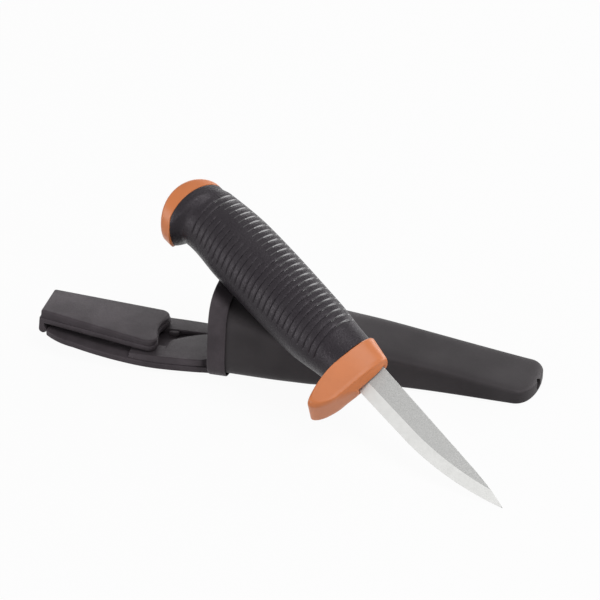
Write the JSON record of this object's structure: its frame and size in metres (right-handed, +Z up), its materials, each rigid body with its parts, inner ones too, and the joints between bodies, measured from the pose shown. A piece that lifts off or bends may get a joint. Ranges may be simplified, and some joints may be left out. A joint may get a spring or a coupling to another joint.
{
  "type": "fixed-blade knife with belt sheath",
  "caption": "Craft knife with a ribbed rubber grip, orange guard and butt cap and a short pointed blade, lying across its moulded belt sheath with a springy belt clip.",
  "frame": {"origin": "middle of the flat foot under the sheath's collar, on the floor", "axes": "+X along the sheath to its tip, +Y to the sheath's spine side, +Z up"},
  "size_m": [0.2158, 0.1075, 0.0783],
  "materials": {
    "steel": "satin, with a brighter ground bevel",
    "orange_plastic": "fine matt",
    "grip_rubber": "matt, soft",
    "sheath_plastic": "fine spark-eroded texture",
    "holder_plastic": "fine spark-eroded texture"
  },
  "bodies": {
    "sheath": {"sheath_body": "sheath_plastic", "belt_holder": "holder_plastic"},
    "clip": {"belt_clip": "holder_plastic"},
    "knife": {"blade": "steel", "handle_core": "orange_plastic", "grip_sleeve": "grip_rubber"}
  },
  "joints": [
    {"name": "clip_flex", "type": "hinge", "parent": "sheath", "child": "clip", "pos_m": [-0.079, 0, 0.0095], "axis": [0, -1, 0], "range_deg": [0, 10], "stiffness_Nm_per_rad": 1.5},
    {"name": "knife_lift", "type": "slide", "parent": "sheath", "child": "knife", "axis": [0, 0, 1], "range_m": [0, 0.1]}
  ]
}
